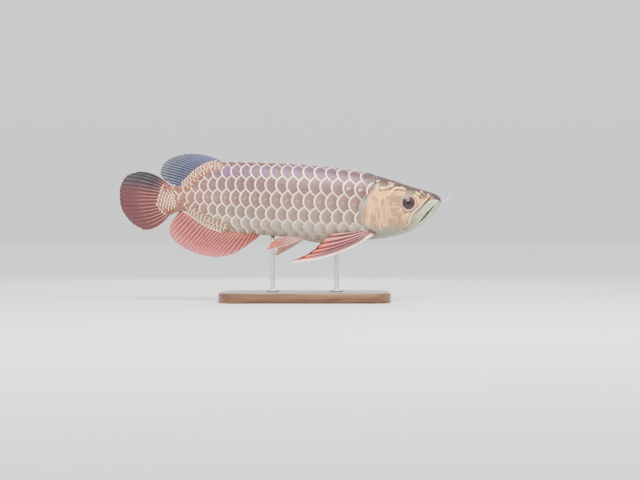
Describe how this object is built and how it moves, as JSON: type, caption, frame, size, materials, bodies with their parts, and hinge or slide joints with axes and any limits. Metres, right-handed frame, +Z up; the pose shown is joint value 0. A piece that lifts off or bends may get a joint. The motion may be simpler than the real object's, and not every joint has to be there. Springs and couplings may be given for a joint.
{
  "type": "asian arowana",
  "caption": "Life-size still model of an Asian arowana swimming level, with large raised scales and ribbed fins, on a flat base with short rods.",
  "frame": {"origin": "middle of the stand base's underside", "axes": "+X towards the fish's head, +Z up, +Y to the fish's left"},
  "size_m": [0.4643, 0.132, 0.2066],
  "materials": {
    "head_skin": "satin, pearly gold over olive brown",
    "jaw_skin": "satin, pale silvery green",
    "gill_cover_skin": "satin, golden beige",
    "scaled_skin": "satin, grey-mauve scales with pale rims",
    "red_fin": "thin rosy red skin between paler rays",
    "slate_fin": "thin slate blue skin between paler rays",
    "eye": "clear and wet, dark red-brown iris in a pale gold ring",
    "barbel": "soft, dark rosy grey",
    "stand_wood": "oiled walnut",
    "stand_steel": "brushed"
  },
  "bodies": {
    "root": {"head": "head_skin", "lower_jaw": "jaw_skin", "upper_jaw_left": "jaw_skin", "upper_jaw_right": "jaw_skin", "gill_cover_left": "gill_cover_skin", "gill_cover_right": "gill_cover_skin", "eye_left": "eye", "eye_right": "eye", "barbel_left": "barbel", "barbel_right": "barbel", "body": "scaled_skin", "tail_stalk": "scaled_skin", "dorsal_fin": "slate_fin", "anal_fin": "red_fin", "tail_fin": "red_fin", "pectoral_fin_left": "red_fin", "pectoral_fin_right": "red_fin", "pelvic_fin_left": "red_fin", "pelvic_fin_right": "red_fin", "stand_base": "stand_wood", "stand_rod_front": "stand_steel", "stand_rod_rear": "stand_steel"}
  },
  "joints": []
}
